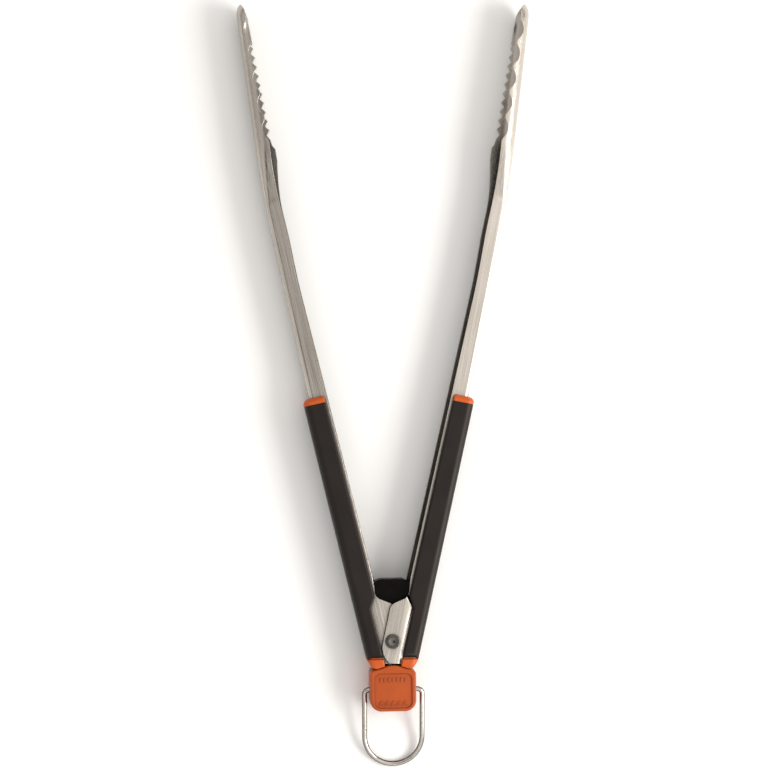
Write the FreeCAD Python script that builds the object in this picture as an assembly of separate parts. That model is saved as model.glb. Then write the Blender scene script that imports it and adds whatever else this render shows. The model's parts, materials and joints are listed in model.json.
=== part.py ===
import FreeCAD
import Part
import math
import os

# Spring-loaded kitchen tongs, lying flat on a table and sprung open, in millimetres.
#
# Model frame while building: origin on the hinge axis, +Y towards the tips, +X to the right, +Z up
# from the table. Each arm is drawn closed, on the right, with +X outward and its mid-plane at z = 0;
# it is then turned open about the hinge, mirrored for the left side, and lifted to MID. The last
# step slides everything along Y, so that the origin is under the middle of the whole object.

# Whole object
OPEN_ANGLE = 12.1             # each arm's lean from the centre line at rest, degrees
THICK = 24.0                  # over the grips and the heads, from front to back
MID = THICK / 2

# Steel arms: pressed U channels, open towards each other
SHEET = 1.0
WEB_X = 17.1                  # outer face of the web, from the hinge axis
WEB_HALF = 9.5                # half the channel's width over the handle
HEAD_HALF = THICK / 2         # half the head's width
BEND_START = 263.0            # the arm starts to lean inward here
BEND_END = 329.0
BEND_ANGLE = 4.7              # degrees
NECK_START = 284.0            # the channel widens into the head between these
NECK_END = 324.0
NOSE_START = 396.0            # the head's sides round off from here
NOSE_DROP_START = 404.5       # the head's back rounds off from here
TIP = 414.5
TIP_X = 3.9                   # web's height at the very tip
TIP_HALF = 3.0
CORNER = 2.5                  # outer corner radius of the channel over the handle
HEAD_CORNER = 7.0
STEEL_END = -13.0             # lower end of the channel
END_CLIP_X = (12.0, 15.0)     # its outer corner is clipped to stay inside the grip's orange end
END_CLIP = 3.0
BACK_RISE = 1.25              # the back wall stands this much taller than the front wall
WEB_HOLES = (60.0, 105.0, 145.0)
WEB_HOLE_R = 2.55

# Lips of the handle: a straight line, x against distance from the hinge
LIP_X = 3.4
LIP_START = 41.0
LIP_SLOPE = 0.0243
LIP_STRAIGHT_END = 222.0

# Scalloped front edge and saw-toothed back edge of the head
WAVE_PITCH = 16.0
WAVES = 5
FIRST_VALLEY = 331.6
WAVE_DEPTH = 2.9
VALLEY_R = 8.5
EDGE_X = 5.8                  # crest line of the front edge at the neck, and its slope
EDGE_SLOPE = -0.039
TEETH = 10
FIRST_TOOTH = 334.1
TOOTH_X = 3.5                 # line through the teeth's points at the neck, and its slope
TOOTH_SLOPE = -0.0275
SHOULDER = 1.2                # the neck's back lip stands this much proud of the teeth
TOOTH_PITCH = 5.94
TOOTH_DEPTH = 2.4

# Hinge ears
EAR_LOW = -14.1               # their toes, just above the cap's crest
JOGGLE = 1.2                  # the right arm's ears are stepped outward over the left arm's
JOGGLE_RUN = 2.4
JOGGLE_X = 8.0
JOGGLE_TURN = 23.0            # above this the step follows the grip's slanted edge
JOGGLE_TURN_X = 8.7
JOGGLE_TOP = 33.0
PIN_R = 2.5
PIN_FIT = 0.06                # radial clearance on the rivet
EAR_OUT = WEB_HALF + JOGGLE   # outer face of the right arm's ears, from the mid-plane

# Grips: an orange core moulded on the steel, and a black sleeve over it
GRIP_X = 18.45                # outer face level with the hinge, and how fast it moves out
GRIP_SLOPE = 0.0178
GRIP_CORNER = 4.5
GRIP_LOW = (-9.8, -7.7)       # lower end of the sleeve, at its inner and outer edge
GRIP_HIGH = 156.0
COLLAR_HIGH = 160.2
COLLAR_LOW = -15.4
GRIP_EDGE_X = 8.1             # inner edge beside the ears, at the lower end and where it turns
EDGE_TURN = 23.0
EDGE_TURN_X = 8.8
EDGE_SLANT_END = 30.0
EDGE_ABOVE_LIP = 1.6
EDGE_CHAMFER = 0.8
CORE_HALF = 10.38
CORE_X = 17.71
CORE_CORNER = 3.2
STEEL_GAP = 0.03
SLEEVE_GAP = 0.02
STUD_R = 2.5
STUD_HEAD_R = 3.5
STUD_HEAD = 1.0

# Rivet, washer, spacer and spring on the hinge axis
RIVET_HEAD_R = 4.45
RIVET_HEAD = 1.15
DISH_R = 2.7                  # the shallow dish in the rivet's head
DISH_DEPTH = 0.5
RIVET_TAIL_R = 4.0
WASHER_R = 4.6
WASHER = 0.3
SPACER_R = 3.2
SPRING_R = 4.3                # mean radius of the coil
SPRING_WIRE_R = 0.75
SPRING_LOW = 8.0              # height of the lower and the upper leg
SPRING_HIGH = 16.0
SPRING_TURNS = 5
LEG_ANGLE = -60.0             # where a leg leaves the coil, in its arm's own frame
LEG_X = 15.2                  # a leg lies along the inside of the web
LEG_END = 26.0
LEG_BEND_R = 2.5

# Lock slider and pull cap
SLIDER_TRAVEL = 12.0
SLIDER_Z = (4.5, 19.5)
PLATE = 2.5
SLOT_HALF = 3.35
HEAD_LOW = 25.0
SLIDER_HEAD_X = 12.5
PLATE_X = 12.0
PLATE_LOW = -14.0
CROSSBAR_HIGH = -9.0
TONGUE_X = 9.5
TONGUE_Z = (6.0, 18.0)
TONGUE_LOW = -40.0
TONGUE_GAP = 0.1
CAP_Z = (1.5, 22.5)
CAP_X = 14.5
CAP_LOW = -43.9
CAP_TOP = -14.95              # crest between the two orange ends
CAP_FILLET = 1.3
PANEL_X = 12.0
PANEL_Y = (-42.0, -20.0)
PANEL_R = 4.1
PANEL_DEPTH = 0.7
RELIEF = 0.4                  # height of the raised marks on the panel

# Wire hanging ring
RING_Y = -31.1                # its pivot, through the cap's sides
RING_R = 1.6
RING_HOLE_R = 1.69
RING_PLAY = 0.6               # how far the ring sits to the right in its holes
RING_INSIDE_X = 11.2
RING_HOLE_X = 10.4
RING_X = 18.25
RING_BEND_R = 3.0
RING_STRAIGHT = 31.2

V = FreeCAD.Vector
UP = V(0, 0, 1)
RIGHT = V(1, 0, 0)
CENTRE = V(0, 0, 0)


# Outlines and solids

def flat(x, y):
    """Place a drawing point on the mid-plane."""
    return V(x, y, 0)


def chain(points, place=flat):
    """Edges through points. A point ends a straight edge, a pair (through, end) an arc, and a
    list of points a smooth curve."""
    here = place(*points[0])
    edges = []
    for step in points[1:]:
        if isinstance(step, list):
            curve = Part.BSplineCurve()
            stops = [place(*p) for p in step]
            curve.interpolate([here] + stops)
            edges.append(curve.toShape())
            here = stops[-1]
        elif isinstance(step[0], tuple):
            through, end = place(*step[0]), place(*step[1])
            edges.append(Part.Arc(here, through, end).toShape())
            here = end
        else:
            end = place(*step)
            edges.append(Part.makeLine(here, end))
            here = end
    return edges


def loop(points, place=flat):
    """Closed wire through points, as in chain(), with a straight edge to close it if needed."""
    edges = chain(points, place)
    start, end = place(*points[0]), edges[-1].valueAt(edges[-1].LastParameter)
    if start.distanceToPoint(end) > 1e-6:
        edges.append(Part.makeLine(end, start))
    return Part.Wire(edges)


def prism(points, low, high):
    """Solid over a closed outline, from z = low to z = high."""
    solid = Part.Face(loop(points)).extrude(V(0, 0, high - low))
    return solid.translated(V(0, 0, low))


def block(x, y, z):
    """Box between the two values of each pair."""
    return Part.makeBox(x[1] - x[0], y[1] - y[0], z[1] - z[0], V(x[0], y[0], z[0]))


def rounded_block(x, y, z, radius):
    """Box with its four upright edges rounded."""
    solid = block(x, y, z)
    upright = [e for e in solid.Edges if e.BoundBox.ZLength > z[1] - z[0] - 0.01]
    return solid.makeFillet(radius, upright)


def pipe(edges, radius):
    """Round wire along tangent edges."""
    path = Part.Wire(edges)
    first = edges[0]
    start = first.valueAt(first.FirstParameter)
    along = first.tangentAt(first.FirstParameter)
    section = Part.Wire([Part.makeCircle(radius, start, along)])
    return path.makePipeShell([section], True, True)


def cylinder(radius, low, high, x=0.0, y=0.0):
    """Upright cylinder."""
    return Part.makeCylinder(radius, high - low, V(x, y, low), UP)


def cross_pin(radius, low_x, high_x, y, z):
    """Cylinder along X."""
    return Part.makeCylinder(radius, high_x - low_x, V(low_x, y, z), RIGHT)


def steps(low, high, count):
    """Evenly spaced values after low, up to high."""
    return [low + (high - low) * (i + 1) / count for i in range(count)]


# Steel arm

def web_x(v, offset=0.0):
    """Outer face of the web at distance v along the arm; offset moves it inward."""
    lean = math.radians(BEND_ANGLE)
    radius = (BEND_END - BEND_START) / math.sin(lean)
    if v <= BEND_START:
        return WEB_X - offset
    if v <= BEND_END:
        return WEB_X - radius + math.sqrt(radius ** 2 - (v - BEND_START) ** 2) - offset
    x = WEB_X - radius * (1 - math.cos(lean)) - (min(v, NOSE_DROP_START) - BEND_END) * math.tan(lean)
    if v > NOSE_DROP_START:
        reach = min(1.0, (v - NOSE_DROP_START) / (TIP - offset - NOSE_DROP_START))
        x = TIP_X + (x - TIP_X) * math.sqrt(1 - reach ** 2)
    return x - offset


def half_width(v, offset=0.0):
    """Half the channel's width at v."""
    blend = min(1.0, max(0.0, (v - NECK_START) / (NECK_END - NECK_START)))
    half = WEB_HALF + (HEAD_HALF - WEB_HALF) * blend * blend * (3 - 2 * blend)
    if v > NOSE_START:
        reach = min(1.0, (v - NOSE_START) / (TIP - offset - NOSE_START))
        half = TIP_HALF + (HEAD_HALF - TIP_HALF) * math.sqrt(1 - reach ** 2)
    return half - offset


def corner_radius(v, offset=0.0):
    """Corner radius between web and walls at v."""
    blend = min(1.0, max(0.0, (v - NECK_START) / (NECK_END - NECK_START)))
    radius = CORNER + (HEAD_CORNER - CORNER) * blend - offset
    return min(radius, half_width(v, offset) - 0.3)


def u_section(v, x, half, corner, edge):
    """Closed outline across an arm at v: square at edge, rounded at x."""
    mid = corner * (1 - math.sqrt(0.5))
    points = [(edge, -half), (x - corner, -half), ((x - mid, mid - half), (x, corner - half)),
              (x, half - corner), ((x - mid, half - mid), (x - corner, half)), (edge, half)]
    return loop(points, lambda px, pz: V(px, v, pz))


def channel_envelope(offset, edge):
    """Solid inside the channel's outer face, moved inward by offset."""
    nose = [NOSE_START + (TIP - offset - NOSE_START) * math.sin(math.radians(a))
            for a in steps(0, 90, 12)]
    stations = [STEEL_END - 5 - offset, BEND_START] + steps(BEND_START, NECK_START, 4)
    stations += steps(NECK_START, NECK_END, 14) + [BEND_END, NOSE_START] + nose
    wires = [u_section(v, web_x(v, offset), half_width(v, offset), corner_radius(v, offset), edge)
             for v in stations]
    return Part.makeLoft(wires, True, True)


def lip_x(v):
    """Front lip of the handle."""
    return LIP_X + LIP_SLOPE * (v - LIP_START)


def crest_x(v):
    """Line through the crests of the head's front edge."""
    return EDGE_X + EDGE_SLOPE * (v - NECK_END)


def tooth_x(v):
    """Line through the points of the head's back edge."""
    return TOOTH_X + TOOTH_SLOPE * (v - NECK_END)


def scallops():
    """Front edge of the head: shallow round valleys joined by tighter round crests."""
    half = WAVE_PITCH / 2
    both = (half ** 2 + WAVE_DEPTH ** 2) / (2 * WAVE_DEPTH)
    reach = half * VALLEY_R / both
    rise = WAVE_DEPTH * (1 - VALLEY_R / both)
    edge = []
    for i in range(WAVES):
        v = FIRST_VALLEY + WAVE_PITCH * i
        before, after = v - reach, v + reach
        if i == 0:
            edge.append((crest_x(before) + rise, before))
        else:
            crest = v - half
            edge.append(((crest_x(crest), crest), (crest_x(before) + rise, before)))
        edge.append(((crest_x(v) + WAVE_DEPTH, v), (crest_x(after) + rise, after)))
    last = v + half
    edge.append(((crest_x(last - 1.5) + 0.25, last - 1.5), (crest_x(last), last)))
    edge.append(((2.85, TIP - 3.5), (TIP_X + 0.1, TIP - 0.1)))
    return edge


def teeth():
    """Back edge of the head: a row of V teeth, then a plain edge to the tip."""
    shoulder = tooth_x(NECK_END) - SHOULDER
    edge = [(shoulder, NECK_END - 2.5), (shoulder + 1.4, NECK_END), (shoulder + 1.8, NECK_END + 4.0)]
    for i in range(TEETH):
        v = FIRST_TOOTH + TOOTH_PITCH * i
        edge += [(tooth_x(v) + TOOTH_DEPTH, v - TOOTH_PITCH / 2), (tooth_x(v), v)]
    edge += [(tooth_x(v) + TOOTH_DEPTH / 2, v + TOOTH_PITCH / 4), (tooth_x(v), v + TOOTH_PITCH / 2)]
    edge.append((tooth_x(NOSE_DROP_START), NOSE_DROP_START))
    edge.append(((2.0, TIP - 3.2), (TIP_X + 0.1, TIP - 0.1)))
    return edge


def ear_outline(outer):
    """Ear below the lips, from its toe up to the arc that leads into the lip."""
    if outer:
        lower = [(0.8, EAR_LOW), ((-4.3, -8.9), (-6.0, -2.5)), (-5.8, 18.6),
                 ((-5.3, 21.8), (-3.6, 24.0))]
    else:
        r = 5.3
        c = r * math.cos(math.radians(30))
        lower = [(3.8, EAR_LOW), (-r / 2, -c), ((-c, -r / 2), (-r, 0.0)), (-r, 19.8),
                 ((-5.0, 22.4), (-3.6, 24.0))]
    return lower + [(0.9, 27.1)]


def lip_cutter(outer, front):
    """What lies beyond the lips of one wall, from the hinge ear to the tip."""
    rise = 0.0 if front else BACK_RISE
    lip = [((3.25 - 0.6 * rise, 29.3), (4.0 - rise, 32.6)),
           ((3.75 - rise, 36.8), (lip_x(LIP_START) - rise, LIP_START)),
           (lip_x(LIP_STRAIGHT_END) - rise, LIP_STRAIGHT_END)]
    if front:
        lip += [[(7.95, 245.0), (7.6, 268.0), (7.9, 289.0), (7.3, 307.0), (EDGE_X, NECK_END)]]
        lip += scallops()
    else:
        lip += [[(6.7, 245.0), (6.35, 268.0), (6.5, 285.0), (5.1, 300.0),
                 (tooth_x(NECK_END) - SHOULDER + 0.4, NECK_END - 10.0)]]
        lip += teeth()
    below = STEEL_END - 10
    outline = [(WEB_X + 5, below), (WEB_X + 5, STEEL_END), (7.0, STEEL_END)]
    outline += ear_outline(outer) + lip
    outline += [(TIP_X + 0.1, TIP + 5), (-30.0, TIP + 5), (-30.0, below)]
    return prism(outline, 0, THICK) if front else prism(outline, -THICK, 0)


def joggled_walls():
    """Ear walls of the right arm, stepped outward to lap over the left arm's ears."""
    slope = (EDGE_TURN_X - lip_x(EDGE_SLANT_END) - EDGE_ABOVE_LIP) / (EDGE_SLANT_END - EDGE_TURN)
    top_x = JOGGLE_TURN_X - slope * (JOGGLE_TOP - JOGGLE_TURN)
    low = STEEL_END - 4
    inner = WEB_HALF - SHEET
    walls = []
    for side in (1, -1):
        wires = []
        for v, x in ((low, JOGGLE_X), (JOGGLE_TURN, JOGGLE_TURN_X), (JOGGLE_TOP, top_x)):
            crest = x - JOGGLE_RUN - (x - JOGGLE_X if v == JOGGLE_TURN else 0.0)
            points = [(x, side * inner), (x, side * WEB_HALF), (crest, side * EAR_OUT),
                      (-20.0, side * EAR_OUT), (-20.0, side * (inner + JOGGLE)),
                      (crest, side * (inner + JOGGLE))]
            wires.append(loop(points, lambda px, pz, v=v: V(px, v, pz)))
        walls.append(Part.makeLoft(wires, True, True))
    room = prism([(-25.0, low - 1), (JOGGLE_X, low - 1), (JOGGLE_X, low), (JOGGLE_TURN_X, JOGGLE_TURN),
                  (top_x, JOGGLE_TOP), (-25.0, JOGGLE_TOP)], -THICK, THICK)
    return walls, room


def end_clip(gap):
    """Corner taken off the channel's lower end, gap further down for the space around it."""
    low = STEEL_END - gap
    return prism([(END_CLIP_X[0], low - 8), (WEB_X + 6, low - 8), (WEB_X + 6, low + END_CLIP),
                  (END_CLIP_X[1], low + END_CLIP), (END_CLIP_X[0], low)], -THICK, THICK)


def steel_arm(outer):
    """One pressed channel. outer is True for the arm whose ears lie outside the other's."""
    arm = channel_envelope(0.0, -15.0).cut(channel_envelope(SHEET, -20.0))
    if outer:
        walls, room = joggled_walls()
        arm = arm.cut(room).fuse(walls)
    arm = arm.cut(lip_cutter(outer, True)).cut(lip_cutter(outer, False)).cut(end_clip(0.0))
    hole = cylinder(PIN_R + PIN_FIT, -THICK, THICK)
    arm = arm.cut(hole)
    for v in WEB_HOLES:
        arm = arm.cut(cross_pin(WEB_HOLE_R, 10, 25, v, 0))
    return arm.removeSplitter()


# Grip

def grip_x(v):
    """Outer face of the grip."""
    return GRIP_X + GRIP_SLOPE * v


def grip_edge(v):
    """Inner edge of the grip: straight beside the ears, slanted, then just above the lip."""
    if v <= EDGE_TURN:
        part = max(0.0, (v - GRIP_LOW[0]) / (EDGE_TURN - GRIP_LOW[0]))
        return GRIP_EDGE_X + (EDGE_TURN_X - GRIP_EDGE_X) * part
    above = lip_x(max(v, EDGE_SLANT_END)) + EDGE_ABOVE_LIP
    part = min(1.0, (v - EDGE_TURN) / (EDGE_SLANT_END - EDGE_TURN))
    return EDGE_TURN_X + (above - EDGE_TURN_X) * part


def grip_section(v, inset=0.0):
    """Closed outline of the grip at v, with chamfered inner edges; inset shrinks it."""
    x, half = grip_x(v) - inset, THICK / 2 - inset
    corner, edge, cut = GRIP_CORNER, grip_edge(v), EDGE_CHAMFER
    mid = corner * (1 - math.sqrt(0.5))
    points = [(edge, cut - half), (edge + cut, -half), (x - corner, -half),
              ((x - mid, mid - half), (x, corner - half)), (x, half - corner),
              ((x - mid, half - mid), (x - corner, half)), (edge + cut, half), (edge, half - cut)]
    return loop(points, lambda px, pz: V(px, v, pz))


def grip_loft(stations):
    """Solid through (v, inset) stations."""
    return Part.makeLoft([grip_section(v, inset) for v, inset in stations], True, True)


def core_layer(gap):
    """Middle layer of the grip, held back from the inner edge; gap makes it larger."""
    low, high = GRIP_LOW[0] - gap, GRIP_HIGH + gap
    wires = [u_section(v, CORE_X + gap, CORE_HALF + gap, CORE_CORNER, grip_edge(v) + EDGE_CHAMFER - gap)
             for v in (low, EDGE_TURN, EDGE_SLANT_END, high)]
    return Part.makeLoft(wires, True, True)


def steel_room(low):
    """Space for the channel and all inside it, with a hair of clearance."""
    wires = [u_section(v, WEB_X + STEEL_GAP, WEB_HALF + STEEL_GAP, CORNER + STEEL_GAP, -10.0)
             for v in (low, COLLAR_HIGH + 10)]
    return Part.makeLoft(wires, True, True)


def joint_line(x):
    """Point on the slanted line where the sleeve ends and the orange end begins."""
    inner, outer = grip_edge(GRIP_LOW[0]), grip_x(GRIP_LOW[1])
    return x, GRIP_LOW[0] + (GRIP_LOW[1] - GRIP_LOW[0]) * (x - inner) / (outer - inner)


def grip_core():
    """Orange layer with the collar above the sleeve, the end below it, and three locking studs."""
    upper = grip_loft([(GRIP_HIGH, 0.0), (COLLAR_HIGH - 2.2, 0.0), (COLLAR_HIGH - 0.8, 0.9),
                       (COLLAR_HIGH, 2.0)])
    lower = grip_loft([(COLLAR_LOW, 2.2), (COLLAR_LOW + 0.7, 1.1), (COLLAR_LOW + 2.2, 0.3),
                       (COLLAR_LOW + 4.0, 0.0), (GRIP_LOW[1] + 1.0, 0.0)])
    end = prism([joint_line(7.0), (7.6, -13.1), ((8.2, -14.0), (9.4, -14.3)), (11.8, -14.5),
                 ((14.6, -14.2), (16.2, -13.0)), joint_line(18.7)], -THICK, THICK)
    core = core_layer(0.0).fuse([upper, lower.common(end)])
    core = core.cut(steel_room(STEEL_END - STEEL_GAP).cut(end_clip(1.5 * STEEL_GAP)))
    inner = WEB_HALF - SHEET
    core = core.cut(block((-10, WEB_X - SHEET), (COLLAR_LOW - 5, GRIP_LOW[1] + 2), (-inner, inner)))
    for v in WEB_HOLES:
        stud = cross_pin(STUD_R, WEB_X - SHEET - STUD_HEAD, CORE_X - 0.1, v, 0)
        head = cross_pin(STUD_HEAD_R, WEB_X - SHEET - STUD_HEAD, WEB_X - SHEET - STEEL_GAP, v, 0)
        core = core.fuse([stud, head])
    return core.removeSplitter()


def long_rims(solid):
    """Edges of the front and back faces that run along the arm."""
    return [e for e in solid.Edges if e.BoundBox.ZLength < 0.01 and e.BoundBox.YLength > 1.0]


def grip_body():
    """Outer shape of the grip between its collars, with flat front and back faces."""
    inner = [(grip_edge(v), v) for v in (GRIP_LOW[0], EDGE_TURN, EDGE_SLANT_END, GRIP_HIGH)]
    outer = [(grip_x(v), v) for v in (GRIP_HIGH, GRIP_LOW[1])]
    body = prism(inner + outer, -THICK / 2, THICK / 2)
    body = body.makeFillet(GRIP_CORNER, [e for e in long_rims(body) if e.BoundBox.XMax > WEB_X])
    return body.makeChamfer(EDGE_CHAMFER, [e for e in long_rims(body) if e.BoundBox.XMin < WEB_X / 2])


def grip_sleeve():
    """Black sleeve over the core, closing on the steel along both inner edges."""
    return grip_body().cut([core_layer(SLEEVE_GAP), steel_room(GRIP_LOW[0] - 5)])


def place_arm(shape, left):
    """Turn a right-hand arm piece open about the hinge, mirror it if asked, and lift it."""
    shape = shape.copy()
    shape.rotate(CENTRE, UP, -OPEN_ANGLE)
    if left:
        shape = shape.mirror(CENTRE, RIGHT)
    return shape.translated(V(0, 0, MID))


# Hinge

def rounded_disc(radius, low, high, edge_z, fillet):
    """Upright disc with the rim at height edge_z rounded."""
    disc = cylinder(radius, low, high)
    rim = [e for e in disc.Edges if e.BoundBox.ZLength < 0.01 and abs(e.BoundBox.ZMin - edge_z) < 0.01]
    return disc.makeFillet(fillet, rim)


def pivot_rivet():
    """Rivet with a dished head in front and a flattened tail behind."""
    under = MID + EAR_OUT + 0.05
    top = under + RIVET_HEAD
    tail = MID - EAR_OUT - WASHER - 0.1
    head = rounded_disc(RIVET_HEAD_R, under, top, top, 0.55)
    end = rounded_disc(RIVET_TAIL_R, 0.05, tail, 0.05, 0.4)
    ball = (DISH_R ** 2 + DISH_DEPTH ** 2) / (2 * DISH_DEPTH)
    dish = Part.makeSphere(ball, V(0, 0, top - DISH_DEPTH + ball))
    return cylinder(PIN_R, tail - 0.2, under + 0.2).fuse([head, end]).cut(dish).removeSplitter()


def rivet_washer():
    """Washer between the rivet's tail and the back ear."""
    high = MID - EAR_OUT - 0.05
    return cylinder(WASHER_R, high - WASHER, high).cut(cylinder(PIN_R + PIN_FIT, 0, high + 1))


def spacer_tube():
    """Tube on the rivet that keeps the left arm's ears apart and carries the spring."""
    inner = WEB_HALF - SHEET - 0.05
    tube = cylinder(SPACER_R, MID - inner, MID + inner)
    return tube.cut(cylinder(PIN_R + PIN_FIT, 0, THICK))


def spring_leg(z):
    """Right-hand leg: tangent off the coil, then up along the inside of the web."""
    angle = math.radians(LEG_ANGLE)
    start = (SPRING_R * math.cos(angle), SPRING_R * math.sin(angle))
    run = (LEG_X - start[0]) / -math.sin(angle)
    knee_y = start[1] + run * math.cos(angle)
    half_turn = -angle / 2
    cut = LEG_BEND_R * math.tan(half_turn)
    before = (LEG_X + cut * math.sin(angle), knee_y - cut * math.cos(angle))
    after = (LEG_X, knee_y + cut)
    through = (LEG_X - LEG_BEND_R * (1 - math.cos(half_turn)), after[1] - LEG_BEND_R * math.sin(half_turn))
    edges = chain([start, before, (through, after), (LEG_X, LEG_END)])
    leg = pipe(edges, SPRING_WIRE_R)
    leg.rotate(CENTRE, UP, -OPEN_ANGLE)
    return leg.translated(V(0, 0, z))


def torsion_spring():
    """Close-wound coil round the spacer, with one leg on each arm's web."""
    first = 180 - LEG_ANGLE + OPEN_ANGLE
    sweep = SPRING_TURNS * 360 + 2 * (LEG_ANGLE - OPEN_ANGLE) + 180
    height = SPRING_HIGH - SPRING_LOW
    coil = Part.makeHelix(height * 360 / sweep, height, SPRING_R)
    section = Part.Wire([Part.makeCircle(SPRING_WIRE_R, V(SPRING_R, 0, 0), V(0, 1, 0))])
    coil = Part.Wire(coil).makePipeShell([section], True, True)
    coil.rotate(CENTRE, UP, first)
    coil = coil.translated(V(0, 0, SPRING_LOW))
    right = spring_leg(SPRING_HIGH)
    left = spring_leg(SPRING_LOW).mirror(CENTRE, RIGHT)
    return coil.fuse([right, left])


# Lock slider, pull cap and ring

def lock_slider():
    """Black slider: a head between the handles, two slotted plates and a tongue for the cap."""
    low, high = SLIDER_Z
    x = SLIDER_HEAD_X
    head = prism([(-x, HEAD_LOW), (x, HEAD_LOW), (x, 34.0), ((x - 0.7, 36.0), (x - 2.2, 37.2)),
                  ((x - 4.2, 38.5), (x - 6.4, 38.9)), (6.4 - x, 38.9), ((4.2 - x, 38.5), (2.2 - x, 37.2)),
                  ((0.7 - x, 36.0), (-x, 34.0))], low, high)
    body = rounded_block((-PLATE_X, PLATE_X), (PLATE_LOW, HEAD_LOW + 4), (low, high), 3.0)
    hollow = block((-30, 30), (CROSSBAR_HIGH, HEAD_LOW), (low + PLATE, high - PLATE))
    tongue = block((-TONGUE_X, TONGUE_X), (TONGUE_LOW, PLATE_LOW + 4), TONGUE_Z)
    slot = cylinder(SLOT_HALF, 0, THICK).fuse(cylinder(SLOT_HALF, 0, THICK, 0, SLIDER_TRAVEL))
    slot = slot.fuse(block((-SLOT_HALF, SLOT_HALF), (0, SLIDER_TRAVEL), (0, THICK)))
    return head.fuse([body, tongue]).cut([hollow, slot]).removeSplitter()


def cap_marks():
    """Plain raised marks on the cap's panel: a row of upright bars and a row of chevrons."""
    floor = CAP_Z[1] - PANEL_DEPTH
    marks = []
    for i in range(7):
        x = -7.8 + 2.6 * i
        marks.append(block((x - 0.55, x + 0.55), (-25.4, -22.8), (floor - 0.1, floor + RELIEF)))
    for i in range(5):
        x = -7.4 + 3.7 * i
        chevron = [(x - 1.3, -40.4), (x, -38.6), (x + 1.3, -40.4), (x + 1.3, -39.0), (x, -37.2),
                   (x - 1.3, -39.0)]
        marks.append(prism(chevron, floor - 0.1, floor + RELIEF))
    return marks


def pull_cap():
    """Orange cap on the slider's tongue, with a recessed panel on both faces."""
    low, high = CAP_Z
    r = 7.0
    k = r * (1 - math.sqrt(0.5))
    x, y = CAP_X, CAP_LOW
    crest = [(9.3, -17.32), (6.2, -16.38), (3.2, -15.33), (0.0, CAP_TOP), (-3.2, -15.33),
             (-6.2, -16.38), (-9.3, -17.32), (-12.9, -18.4)]
    cap = prism([(r - x, y), (x - r, y), ((x - k, y + k), (x, y + r)), (x, -20.9),
                 ((x - 0.5, -19.3), (12.9, -18.4)), crest,
                 ((0.5 - x, -19.3), (-x, -20.9)), (-x, y + r), ((k - x, y + k), (r - x, y))], low, high)
    rims = [e for e in cap.Edges if e.BoundBox.ZLength < 0.01]
    cap = cap.makeFillet(CAP_FILLET, rims)
    panel = (-PANEL_X, PANEL_X), PANEL_Y
    cap = cap.cut(rounded_block(*panel, (high - PANEL_DEPTH, high + 1), PANEL_R))
    cap = cap.cut(rounded_block(*panel, (low - 1, low + PANEL_DEPTH), PANEL_R))
    gap = TONGUE_GAP
    socket = block((-TONGUE_X - gap, TONGUE_X + gap), (TONGUE_LOW - 0.5, 0),
                   (TONGUE_Z[0] - gap, TONGUE_Z[1] + gap))
    cap = cap.cut(socket)
    for side in (1, -1):
        start = RING_HOLE_X if side > 0 else -RING_HOLE_X - 10
        cap = cap.cut(cross_pin(RING_HOLE_R, start, start + 10, RING_Y, MID))
    return cap.fuse(cap_marks()).removeSplitter()


def hanging_ring():
    """Wire bail: its two ends turn in the cap, and its far end rests on the table."""
    x, bend, far = RING_X, RING_BEND_R, RING_STRAIGHT
    k = bend * (1 - math.sqrt(0.5))
    edges = chain([(RING_INSIDE_X, 0.0), (x - bend, 0.0), ((x - k, -k), (x, -bend)), (x, -far),
                   ((0.0, -far - x), (-x, -far)), (-x, -bend), ((k - x, -k), (bend - x, 0.0)),
                   (-RING_INSIDE_X, 0.0)])
    ring = pipe(edges, RING_R)
    droop = math.degrees(math.asin((MID - RING_R - 0.02) / (far + x)))
    ring.rotate(CENTRE, RIGHT, droop)
    print("ring droops by", round(droop, 3), "degrees")
    return ring.translated(V(RING_PLAY, RING_Y, MID))


# Assembly

def build():
    """Every sub-part by name, at rest, about the hinge axis."""
    core, sleeve = grip_core(), grip_sleeve()
    return {
        "right_arm": place_arm(steel_arm(True), False),
        "left_arm": place_arm(steel_arm(False), True),
        "right_grip_core": place_arm(core, False),
        "left_grip_core": place_arm(core, True),
        "right_grip_sleeve": place_arm(sleeve, False),
        "left_grip_sleeve": place_arm(sleeve, True),
        "pivot_rivet": pivot_rivet(),
        "rivet_washer": rivet_washer(),
        "spacer_tube": spacer_tube(),
        "torsion_spring": torsion_spring(),
        "lock_slider": lock_slider(),
        "pull_cap": pull_cap(),
        "hanging_ring": hanging_ring(),
    }


def main():
    """Move the origin under the middle of the object and write one file for each sub-part."""
    parts = build()
    box = Part.makeCompound(list(parts.values())).optimalBoundingBox(False, False)
    shift = -round((box.YMin + box.YMax) / 2, 1)
    os.makedirs("parts", exist_ok=True)
    for name, shape in parts.items():
        moved = shape.translated(V(0, shift, 0))
        moved.exportStep("parts/" + name + ".step")
        print(name, "solids", len(moved.Solids), "valid", moved.isValid(), "volume",
              round(moved.Volume, 1))
    print("box", [round(n, 2) for n in (box.XMin, box.XMax, box.YMin + shift, box.YMax + shift,
                                        box.ZMin, box.ZMax)])
    print("hinge axis at y", shift, "ring axis at y", round(shift + RING_Y, 2), "z", MID)


main()
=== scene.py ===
"""Looks of the spring-loaded kitchen tongs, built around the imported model. Units are metres.

The CAD solids keep every shape and place. Each visible piece here is either a finished copy of its
CAD mesh, with clean shading and softened edges, or a finer mesh built in the same space.
"""
import json
import math

import bmesh
import bpy
from mathutils import Matrix, Vector


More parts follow.
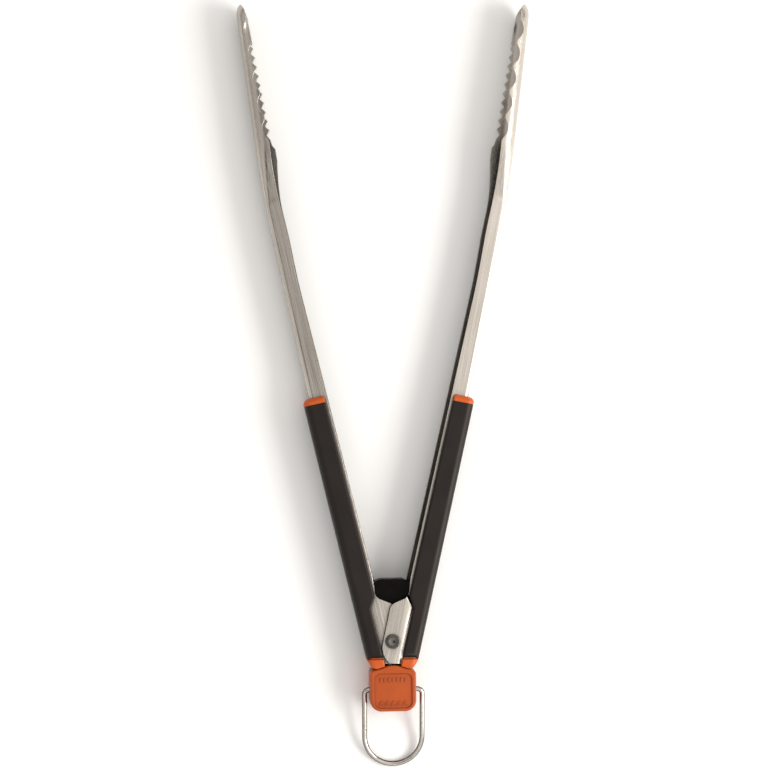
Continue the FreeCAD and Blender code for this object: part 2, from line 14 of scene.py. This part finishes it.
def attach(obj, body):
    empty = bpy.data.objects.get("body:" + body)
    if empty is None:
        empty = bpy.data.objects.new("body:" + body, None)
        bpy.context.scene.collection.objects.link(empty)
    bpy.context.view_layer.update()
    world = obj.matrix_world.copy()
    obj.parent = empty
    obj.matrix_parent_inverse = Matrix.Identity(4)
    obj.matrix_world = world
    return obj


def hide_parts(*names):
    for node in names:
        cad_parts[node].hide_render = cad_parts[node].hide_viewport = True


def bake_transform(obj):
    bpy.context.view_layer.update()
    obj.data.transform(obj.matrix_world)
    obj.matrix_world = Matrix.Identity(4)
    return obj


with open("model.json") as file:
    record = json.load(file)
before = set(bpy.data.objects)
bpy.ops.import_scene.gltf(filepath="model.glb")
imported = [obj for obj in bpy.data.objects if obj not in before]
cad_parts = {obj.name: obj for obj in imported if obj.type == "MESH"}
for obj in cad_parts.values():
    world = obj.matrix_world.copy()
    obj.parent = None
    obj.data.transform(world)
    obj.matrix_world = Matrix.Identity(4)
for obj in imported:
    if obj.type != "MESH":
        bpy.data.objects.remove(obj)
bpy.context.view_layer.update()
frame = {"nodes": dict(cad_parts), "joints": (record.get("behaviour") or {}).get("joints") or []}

MM = 0.001
OPEN_ANGLE = math.radians(12.1)      # each arm's lean from the centre line at rest
joints = {joint["name"]: joint for joint in frame["joints"]}
HINGE = Vector(joints["right_arm_hinge"]["pos_m"])
RING_PIVOT = Vector(joints["ring_swing"]["pos_m"])
NOISE_LOW, NOISE_HIGH = 0.3, 0.7     # where most of a noise texture's values lie
SHARP_EDGE = math.radians(28.0)      # steeper edges of the CAD mesh stay sharp and are softened
FLAT_ENOUGH = math.radians(0.3)      # faces that differ by less are joined


# Camera, floor and light

def aim(obj, target, up):
    """Point an object's -Z axis at target, with up as near as can be to its Y axis."""
    back = (obj.location - target).normalized()
    right = up.cross(back).normalized()
    rows = zip(right, back.cross(right), back, obj.location)
    obj.matrix_world = Matrix([*map(list, rows), [0, 0, 0, 1]])


def make_camera():
    """Nearly overhead, a little to the left, so that the right arm shows its inside."""
    target = Vector((-3.3, 0.1, 24.0)) * MM
    distance, height = 1.3, 0.4835       # metres from the target, and seen from top to bottom there
    lean_x, lean_y, roll = (math.radians(a) for a in (3.32, 1.65, 0.8))
    back = Vector((-math.sin(lean_x), -math.sin(lean_y), 0))
    back.z = math.sqrt(1 - back.x ** 2 - back.y ** 2)
    data = bpy.data.cameras.new("camera")
    data.sensor_width = 36.0
    data.lens = data.sensor_width * distance / height
    data.clip_start, data.clip_end = 0.01, 50.0
    camera = bpy.data.objects.new("camera", data)
    bpy.context.scene.collection.objects.link(camera)
    camera.location = target + back * distance
    aim(camera, target, Vector((math.sin(roll), math.cos(roll), 0)))
    bpy.context.scene.camera = camera


def softbox(name, place, target, size, power, colour):
    """One rectangular studio light."""
    data = bpy.data.lights.new(name, "AREA")
    data.shape = "RECTANGLE"
    data.size, data.size_y = size
    data.energy = power
    data.color = colour
    light = bpy.data.objects.new(name, data)
    bpy.context.scene.collection.objects.link(light)
    light.location = place
    aim(light, Vector(target), Vector((0, 1, 0.01)))


def sky(world):
    """A light tent: dim near the floor, bright walls, a dark hole overhead a little to the left."""
    world.use_nodes = True
    tree = world.node_tree
    place = tree.nodes.new("ShaderNodeTexCoord")
    parts = tree.nodes.new("ShaderNodeSeparateXYZ")
    hole = tree.nodes.new("ShaderNodeVectorMath")
    hole.operation = "DOT_PRODUCT"
    hole.inputs[1].default_value = Vector((-0.17, -0.04, 1.0)).normalized()
    # Each stop: cosine of the angle from the hole's centre, and how bright the tent is there
    height = tree.nodes.new("ShaderNodeValToRGB")
    ramp = height.color_ramp
    ramp.elements[0].position, ramp.elements[0].color = 0.0, (0.5, 0.49, 0.478, 1)
    ramp.elements[1].position, ramp.elements[1].color = 1.0, (0.04, 0.038, 0.036, 1)
    for position, level in ((0.14, 0.42), (0.3, 0.66), (0.5, 0.95), (0.945, 1.05), (0.984, 0.1)):
        ramp.elements.new(position).color = (level, level * 0.98, level * 0.955, 1)
    # The right side of the tent is brighter than the left
    side = tree.nodes.new("ShaderNodeMapRange")
    side.inputs["From Min"].default_value = -0.5
    side.inputs["From Max"].default_value = 0.4
    side.inputs["To Min"].default_value = 0.82
    side.inputs["To Max"].default_value = 1.15
    tree.links.new(place.outputs["Generated"], parts.inputs["Vector"])
    tree.links.new(place.outputs["Generated"], hole.inputs[0])
    tree.links.new(hole.outputs["Value"], height.inputs["Fac"])
    tree.links.new(parts.outputs["X"], side.inputs["Value"])
    tree.links.new(height.outputs["Color"], tree.nodes["Background"].inputs["Color"])
    tree.links.new(side.outputs["Result"], tree.nodes["Background"].inputs["Strength"])


def make_studio():
    """Pale floor, light tent, a large soft box on the right and a weak one low beside it."""
    scene = bpy.context.scene
    scene.view_settings.view_transform = "Standard"
    scene.world = bpy.data.worlds.new("studio")
    sky(scene.world)

    mesh = bpy.data.meshes.new("floor")
    half = 6.0
    mesh.from_pydata([(-half, -half, 0), (half, -half, 0), (half, half, 0), (-half, half, 0)],
                     [], [(0, 1, 2, 3)])
    floor = bpy.data.objects.new("floor", mesh)
    scene.collection.objects.link(floor)
    paper = Shader("floor_paper")
    paper.set(Base_Color=(0.95, 0.945, 0.935, 1), Roughness=0.9)
    floor.data.materials.append(paper.material)

    softbox("key", place=(1.05, -0.3, 0.8), target=(0.0, 0, 0), size=(0.5, 1.1), power=14.0,
            colour=(1, 0.985, 0.96))
    softbox("low_right", place=(1.2, 0.0, 0.32), target=(0.05, 0, 0), size=(0.3, 1.3), power=1.5,
            colour=(1, 0.98, 0.95))


# Materials

class Shader:
    """A Principled material and short ways to add the procedural nodes that feed it."""

    def __init__(self, name):
        self.material = bpy.data.materials.new(name)
        self.material.use_nodes = True
        self.tree = self.material.node_tree
        self.surface = self.tree.nodes["Principled BSDF"]

    def node(self, kind, **values):
        """A new node; each value goes to its input of that name, or else to the node itself."""
        made = self.tree.nodes.new(kind)
        for key, value in values.items():
            if key in made.inputs:
                made.inputs[key].default_value = value
            else:
                setattr(made, key, value)
        return made

    def link(self, source, target):
        self.tree.links.new(source, target)

    def coordinates(self, turn=0.0, stretch=(1, 1, 1)):
        """Object coordinates about the hinge, turned about Z and stretched."""
        place = self.node("ShaderNodeTexCoord")
        moved = self.node("ShaderNodeMapping", Location=-HINGE)
        turned = self.node("ShaderNodeMapping", Rotation=(0, 0, turn))
        scaled = self.node("ShaderNodeMapping", Scale=stretch)
        self.link(place.outputs["Object"], moved.inputs["Vector"])
        self.link(moved.outputs["Vector"], turned.inputs["Vector"])
        self.link(turned.outputs["Vector"], scaled.inputs["Vector"])
        return scaled.outputs["Vector"]

    def noise(self, vector, scale, detail, rough=0.55):
        made = self.node("ShaderNodeTexNoise", Scale=scale, Detail=detail, Roughness=rough)
        self.link(vector, made.inputs["Vector"])
        return made.outputs["Fac"]

    def ramp(self, factor, low, high):
        """Colour that runs from low to high with the noise in factor."""
        made = self.node("ShaderNodeValToRGB")
        first, last = made.color_ramp.elements
        first.position, first.color = NOISE_LOW, (*low, 1)
        last.position, last.color = NOISE_HIGH, (*high, 1)
        self.link(factor, made.inputs["Fac"])
        return made.outputs["Color"]

    def spread(self, factor, low, high, start=NOISE_LOW, end=NOISE_HIGH):
        """Number that runs from low to high as factor runs from start to end."""
        made = self.node("ShaderNodeMapRange", **{"From Min": start, "From Max": end,
                                                  "To Min": low, "To Max": high})
        self.link(factor, made.inputs["Value"])
        return made.outputs["Result"]

    def bump(self, height, depth, strength):
        made = self.node("ShaderNodeBump", Strength=strength, Distance=depth)
        self.link(height, made.inputs["Height"])
        return made.outputs["Normal"]

    def crevice_shade(self, colour, reach, dark, start, end, amount=None, own=True):
        """Painted shade: darken a colour where its own piece, or any piece, hems the surface in
        within reach.

        It is darkest, multiplied by dark, where less than start of the surroundings is open.
        """
        shade = self.node("ShaderNodeAmbientOcclusion", samples=6, only_local=own, Distance=reach)
        open_air = self.spread(shade.outputs["AO"], dark, 1.0, start, end)
        return self.tinted(colour, open_air, amount)

    def combine(self, operation, first, second):
        """Two varying numbers put through one Math operation."""
        made = self.node("ShaderNodeMath", operation=operation)
        self.link(first, made.inputs[0])
        self.link(second, made.inputs[1])
        return made.outputs["Value"]

    def levelness(self):
        """1 on faces that lie flat in the piece's own space, 0 on upright ones."""
        place = self.node("ShaderNodeTexCoord")
        parts = self.node("ShaderNodeSeparateXYZ")
        upright = self.node("ShaderNodeMath", operation="ABSOLUTE")
        self.link(place.outputs["Normal"], parts.inputs["Vector"])
        self.link(parts.outputs["Z"], upright.inputs[0])
        return upright.outputs["Value"]

    def tinted(self, colour, tint, amount=None):
        """Colour multiplied by a varying colour or number, in full or by a varying amount."""
        made = self.node("ShaderNodeMix", data_type="RGBA", blend_type="MULTIPLY", Factor=1.0)
        if amount is not None:
            self.link(amount, made.inputs["Factor"])
        self.link(colour, made.inputs["A"])
        self.link(tint, made.inputs["B"])
        return made.outputs["Result"]

    def set(self, **values):
        for key, value in values.items():
            self.surface.inputs[key.replace("_", " ")].default_value = value


def scaled(colour, light):
    return tuple(level * light for level in colour)


def brushed_steel(name, turn, handle_shade, head_shade):
    """Stainless sheet with its grain along the arm and duller patches, with painted shade deep in
    the channel.

    The two numbers after turn scale the steel's colour on the handle and on the head, against the
    hinge ears, as painted shade.
    """
    ears_to_handle = (40 * MM, 190 * MM)     # stretches up the arm, measured from the hinge
    handle_to_head = (300 * MM, 335 * MM)
    bend_by_the_ears = (32 * MM, 40 * MM)
    channel_to_neck = (255 * MM, 300 * MM)
    neck_to_scoop = (326 * MM, 334 * MM)

    shader = Shader(name)
    fine = shader.noise(shader.coordinates(turn, (1, 0.012, 1)), 2600, 2)
    coarse = shader.noise(shader.coordinates(turn, (1, 0.02, 1)), 700, 3)
    patch = shader.noise(shader.coordinates(turn, (1, 0.35, 1)), 45, 2)
    both = shader.node("ShaderNodeMix", data_type="FLOAT", Factor=0.45)
    shader.link(fine, both.inputs["A"])
    shader.link(coarse, both.inputs["B"])
    grain = both.outputs["Result"]
    place = shader.node("ShaderNodeSeparateXYZ")
    shader.link(shader.coordinates(turn), place.inputs["Vector"])
    up_arm = place.outputs["Y"]

    # Grain and patches, then painted shade: along the arm, and on the bend beside the ears where
    # the grip's shadow falls
    tone = shader.ramp(grain, (0.7, 0.64, 0.57), (0.88, 0.81, 0.73))
    tone = shader.tinted(tone, shader.ramp(patch, (0.9, 0.89, 0.88), (1.0, 1.0, 1.0)))
    tone = shader.tinted(tone, shader.combine(
        "MULTIPLY", shader.spread(up_arm, 1.0, handle_shade, *ears_to_handle),
        shader.spread(up_arm, 1.0, head_shade / handle_shade, *handle_to_head)))
    tone = shader.tinted(tone, shader.combine(
        "MAXIMUM", shader.spread(shader.levelness(), 0.04, 1.0, 0.9, 0.975),
        shader.spread(up_arm, 0.0, 1.0, *bend_by_the_ears)))
    # Painted shade: dark lines where pieces meet, and a dark channel that is less so in the open
    # head
    tone = shader.crevice_shade(tone, 4 * MM, 0.04, 0.45, 0.92, own=False)
    depth = shader.combine("MULTIPLY", shader.spread(up_arm, 0.78, 1.0, *channel_to_neck),
                           shader.spread(up_arm, 1.0, 0.42, *neck_to_scoop))
    tone = shader.crevice_shade(tone, 30 * MM, 0.02, 0.5, 0.9, depth)
    shader.link(tone, shader.surface.inputs["Base Color"])
    shader.link(shader.spread(grain, 0.2, 0.33), shader.surface.inputs["Roughness"])
    shader.link(shader.bump(grain, 0.02 * MM, 0.6), shader.surface.inputs["Normal"])
    along = shader.node("ShaderNodeCombineXYZ", X=math.sin(turn), Y=math.cos(turn))
    shader.link(along.outputs["Vector"], shader.surface.inputs["Tangent"])
    shader.set(Metallic=1.0, Anisotropic=0.6, Anisotropic_Rotation=0.25)
    return shader.material


def soft_black(name, turn):
    """Matt moulded elastomer: fine pebble, faint handling marks."""
    shader = Shader(name)
    at = shader.coordinates(turn)
    pebble = shader.noise(at, 2400, 2, 0.6)
    cloud = shader.noise(at, 60, 3)
    shader.link(shader.ramp(cloud, (0.005, 0.0038, 0.0034), (0.0085, 0.0068, 0.006)),
                shader.surface.inputs["Base Color"])
    shader.link(shader.spread(cloud, 0.44, 0.55), shader.surface.inputs["Roughness"])
    shader.link(shader.bump(pebble, 0.06 * MM, 0.5), shader.surface.inputs["Normal"])
    shader.set(Specular_IOR_Level=0.34, Specular_Tint=(1.0, 0.87, 0.79, 1))
    return shader.material


def orange_plastic(name, light):
    """Hard moulded plastic with spark-eroded grain and slightly uneven colour; light scales it, and
    the cap's lower value is painted shade.
    """
    shader = Shader(name)
    at = shader.coordinates()
    grain = shader.noise(at, 3200, 2, 0.6)
    cloud = shader.noise(at, 90, 2)
    base = shader.ramp(cloud, scaled((0.5, 0.08, 0.008), light),
                       scaled((0.57, 0.096, 0.012), light))
    # Painted shade in the recesses, such as along the panel's edge
    shader.link(shader.crevice_shade(base, 2.4 * MM, 0.25, 0.45, 0.93),
                shader.surface.inputs["Base Color"])
    shader.link(shader.spread(grain, 0.36, 0.5), shader.surface.inputs["Roughness"])
    shader.link(shader.bump(grain, 0.04 * MM, 0.45), shader.surface.inputs["Normal"])
    shader.set(Specular_IOR_Level=0.35)
    return shader.material


def black_plastic(name):
    """Hard black moulding with a light grain."""
    shader = Shader(name)
    at = shader.coordinates()
    grain = shader.noise(at, 2800, 2, 0.6)
    shader.link(shader.spread(grain, 0.3, 0.44), shader.surface.inputs["Roughness"])
    shader.link(shader.bump(grain, 0.04 * MM, 0.4), shader.surface.inputs["Normal"])
    cloud = shader.noise(at, 120, 2)
    shader.link(shader.ramp(cloud, (0.0022, 0.0014, 0.0012), (0.004, 0.003, 0.0026)),
                shader.surface.inputs["Base Color"])
    shader.set(Specular_IOR_Level=0.08)
    return shader.material


def polished_steel(name, light, smooth, rough):
    """Polished wire and rivet, bright on top with painted shade down the sides for the dark
    surroundings they reflect, and faint rub marks.

    light scales the colour, and the rivet's low value is painted shade; smooth and rough are the
    least and the greatest roughness.
    """
    shader = Shader(name)
    shader.set(Metallic=1.0)
    at = shader.coordinates()
    rub = shader.noise(at, 420, 4)
    base = shader.ramp(rub, scaled((0.52, 0.48, 0.44), light), scaled((0.66, 0.62, 0.57), light))
    # Painted shade: upright faces get a dark colour, standing in for reflections of dark
    # surroundings
    painted_side_shade = shader.spread(shader.levelness(), 1.0, 0.0, 0.55, 0.92)
    side_shaded = shader.node("ShaderNodeMix", data_type="RGBA")
    shader.link(painted_side_shade, side_shaded.inputs["Factor"])
    shader.link(base, side_shaded.inputs["A"])
    side_shaded.inputs["B"].default_value = (*scaled((0.075, 0.062, 0.052), light), 1)
    shader.link(side_shaded.outputs["Result"], shader.surface.inputs["Base Color"])
    shader.link(shader.spread(rub, smooth, rough), shader.surface.inputs["Roughness"])
    shader.link(shader.bump(rub, 0.01 * MM, 0.4), shader.surface.inputs["Normal"])
    return shader.material


def spring_wire(name):
    """Drawn wire, greyer and duller than the sheet."""
    shader = Shader(name)
    shader.set(Metallic=1.0)
    at = shader.coordinates()
    draw = shader.noise(at, 900, 3)
    shader.link(shader.ramp(draw, (0.28, 0.275, 0.27), (0.42, 0.41, 0.4)),
                shader.surface.inputs["Base Color"])
    shader.link(shader.spread(draw, 0.26, 0.44), shader.surface.inputs["Roughness"])
    shader.link(shader.bump(draw, 0.01 * MM, 0.5), shader.surface.inputs["Normal"])
    return shader.material


# Pieces

def add_piece(name, mesh, body, slot, material, *replaced):
    """Put a mesh in the scene as a piece of the object."""
    obj = bpy.data.objects.new(name, mesh)
    bpy.context.scene.collection.objects.link(obj)
    mesh.materials.clear()
    mesh.materials.append(material)
    if body:
        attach(obj, body)
    if replaced:
        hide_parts(*replaced)
    return obj


def finished_copy(node, name, body, slot, material, softened, weld=0.002 * MM):
    """Copy of a CAD node: welded, smooth-shaded up to its sharp edges, and those softened."""
    mesh = frame["nodes"][node].data.copy()
    mesh.name = name
    work = bmesh.new()
    work.from_mesh(mesh)
    bmesh.ops.remove_doubles(work, verts=work.verts, dist=weld)
    bmesh.ops.dissolve_limit(work, angle_limit=FLAT_ENOUGH, verts=work.verts, edges=work.edges,
                             delimit={"NORMAL"})
    for face in work.faces:
        face.smooth = True
    weight = work.edges.layers.float.new("bevel_weight_edge")
    for edge in work.edges:
        is_sharp = len(edge.link_faces) == 2 and edge.calc_face_angle(0.0) > SHARP_EDGE
        edge.smooth = not is_sharp
        edge[weight] = 1.0 if is_sharp else 0.0
    work.to_mesh(mesh)
    work.free()
    if "custom_normal" in mesh.attributes:
        mesh.attributes.remove(mesh.attributes["custom_normal"])
    obj = add_piece(name, mesh, body, slot, material, node)
    bevel = obj.modifiers.new("soft_edges", "BEVEL")
    bevel.width = softened
    bevel.segments = 2
    bevel.limit_method = "WEIGHT"
    bevel.use_clamp_overlap = False
    bevel.harden_normals = False
    obj.modifiers.new("normals", "WEIGHTED_NORMAL").keep_sharp = True


def tube_mesh(name, points, radius, sides):
    """Round wire along a row of points, closed and slightly chamfered at both ends."""
    end_radius, chamfer = radius * 0.86, radius * 0.14
    heading = (points[1] - points[0]).normalized()
    across = heading.orthogonal().normalized()
    verts, faces = [], []

    def add_ring(centre, size):
        around = heading.cross(across)
        for i in range(sides):
            turn = 2 * math.pi * i / sides
            verts.append(centre + (across * math.cos(turn) + around * math.sin(turn)) * size)

    for i, point in enumerate(points):
        if 0 < i < len(points) - 1:
            new_heading = (points[i + 1] - points[i - 1]).normalized()
        else:
            new_heading = (point - points[i - 1]).normalized() if i else heading
        across = heading.rotation_difference(new_heading) @ across
        heading = new_heading
        if i == 0:
            add_ring(point, end_radius)
            add_ring(point + heading * chamfer, radius)
        elif i == len(points) - 1:
            add_ring(point - heading * chamfer, radius)
            add_ring(point, end_radius)
        else:
            add_ring(point, radius)
    rings = len(verts) // sides
    for ring in range(rings - 1):
        for i in range(sides):
            a, b = ring * sides + i, ring * sides + (i + 1) % sides
            faces.append((a, b, b + sides, a + sides))
    faces.append(tuple(reversed(range(sides))))
    faces.append(tuple(range(len(verts) - sides, len(verts))))
    mesh = bpy.data.meshes.new(name)
    mesh.from_pydata(verts, [], faces)
    for face in mesh.polygons:
        face.use_smooth = len(face.vertices) == 4
    return mesh


def arc(centre, radius, start, end, step):
    """Points of an arc in the XY plane, angles in degrees."""
    count = math.ceil(abs(end - start) / step)
    angles = (math.radians(start + (end - start) * i / count) for i in range(count + 1))
    return [(centre[0] + radius * math.cos(a), centre[1] + radius * math.sin(a)) for a in angles]


def hanging_ring(material):
    """Wire bail, drooping from the cap until its far end rests on the table."""
    wire, play, over_table = 1.6, 0.6, 0.02      # mm: wire's radius, shift to the right, gap left
    inside, entry = 11.2, 1.5                    # each end's distance from the centre, and its run
    side, bend, straight = 18.25, 3.0, 31.2      # half width, corner radius, length of the sides
    half = [(inside, 0.0), (inside + entry, 0.0)] + arc((side - bend, -bend), bend, 90, 0, 9)
    half += [(side, -straight * k / 6) for k in range(1, 6)]
    loop = arc((0, -straight), side, 0, -180, 3)
    points = half + loop + [(-x, y) for x, y in reversed(half)]
    droop = math.asin((HINGE.z / MM - wire - over_table) / (straight + side))
    place = Matrix.Translation(RING_PIVOT) @ Matrix.Rotation(droop, 4, "X")
    path = [place @ (Vector((x + play, y, 0)) * MM) for x, y in points]
    mesh = tube_mesh("ring_wire", path, wire * MM, 32)
    add_piece("ring_wire", mesh, "hanging_ring", "polished_steel", material, "hanging_ring")


def spring_half(side, material):
    """Half of the torsion spring: coil from its middle turn out to the leg on one arm's web."""
    wire, radius, turns = 0.75, 4.3, 5           # mm: wire's radius, coil's radius, whole coil
    low, high = 8.0, 16.0                        # height of the coil's two ends
    leg_x, leg_end, bend = 15.2, 26.0, 2.5       # leg beside the web, its end, radius of its knee
    lean, steps = 60.0, 150                      # leg's angle as it leaves the coil, points in it
    open_deg = math.degrees(OPEN_ANGLE)
    sweep = turns * 360 - 2 * (lean + open_deg) + 180
    coil = []
    for i in range(steps + 1):
        t = 0.5 + 0.5 * i / steps
        angle = math.radians(180 + lean + open_deg + sweep * t)
        coil.append(Vector((radius * math.cos(angle), radius * math.sin(angle),
                            low + (high - low) * t)))
    tilt = math.radians(lean)
    run = (leg_x - radius * math.cos(tilt)) / math.sin(tilt)
    knee = -radius * math.sin(tilt) + run * math.cos(tilt)
    cut = bend * math.tan(tilt / 2)
    leg = arc((leg_x - bend, knee + cut), bend, -lean, 0, 6)
    leg += [(leg_x, knee + cut + (leg_end - knee - cut) * k / 4) for k in range(1, 5)]
    turned = Matrix.Rotation(-OPEN_ANGLE, 3, "Z")
    path = coil + [turned @ Vector((x, y, high)) for x, y in leg]
    if side == "left":
        path = [Vector((-p.x, p.y, low + high - p.z)) for p in path]
    path = [Vector((HINGE.x, HINGE.y, 0)) + p * MM for p in path]
    name = "spring_" + side
    mesh = tube_mesh(name, path, wire * MM, 12)
    obj = add_piece(name, mesh, None, "spring_steel", material, "torsion_spring")
    middle = HINGE.copy()
    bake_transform(obj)


def main():
    make_camera()
    make_studio()

    # Painted shade: the left arm, both heads, the cap and the rivet get darker colours for the
    # light that falls on them
    steel = {"right": brushed_steel("steel_right", OPEN_ANGLE, 1.0, 0.8),
             "left": brushed_steel("steel_left", -OPEN_ANGLE, 0.76, 0.6)}
    rubber = {"right": soft_black("rubber_right", OPEN_ANGLE),
              "left": soft_black("rubber_left", -OPEN_ANGLE)}
    orange = orange_plastic("orange_cap", 0.78)
    lit_orange = orange_plastic("orange_ends", 1.0)
    black = black_plastic("black_plastic")
    polished = polished_steel("polished_wire", light=0.95, smooth=0.07, rough=0.15)
    rivet = polished_steel("rivet_steel", light=0.27, smooth=0.18, rough=0.26)
    wire = spring_wire("spring_wire")

    for side in ("left", "right"):
        arm = side + "_arm"
        finished_copy(arm, arm + "_shell", arm, "steel", steel[side], 0.2 * MM)
        core, sleeve = side + "_grip_core", side + "_grip_sleeve"
        # The wide weld closes a step of 0.05 mm in the core's mesh
        finished_copy(core, core + "_shell", arm, "orange_plastic", lit_orange, 0.2 * MM,
                      weld=0.08 * MM)
        finished_copy(sleeve, sleeve + "_shell", arm, "grip_rubber", rubber[side], 0.3 * MM)
    for node, name, body, slot, material, softened in (
            ("pivot_rivet", "rivet_finished", "hinge_pin", "polished_steel", rivet, 0.08),
            ("rivet_washer", "washer_finished", "hinge_pin", "polished_steel", rivet, 0.05),
            ("spacer_tube", "spacer_finished", "hinge_pin", "spring_steel", wire, 0.08),
            ("lock_slider", "slider_finished", "lock_slider", "black_plastic", black, 0.35),
            ("pull_cap", "cap_finished", "lock_slider", "orange_plastic", orange, 0.12)):
        finished_copy(node, name, body, slot, material, softened * MM)
    hanging_ring(polished)
    spring_half("left", wire)
    spring_half("right", wire)


main()
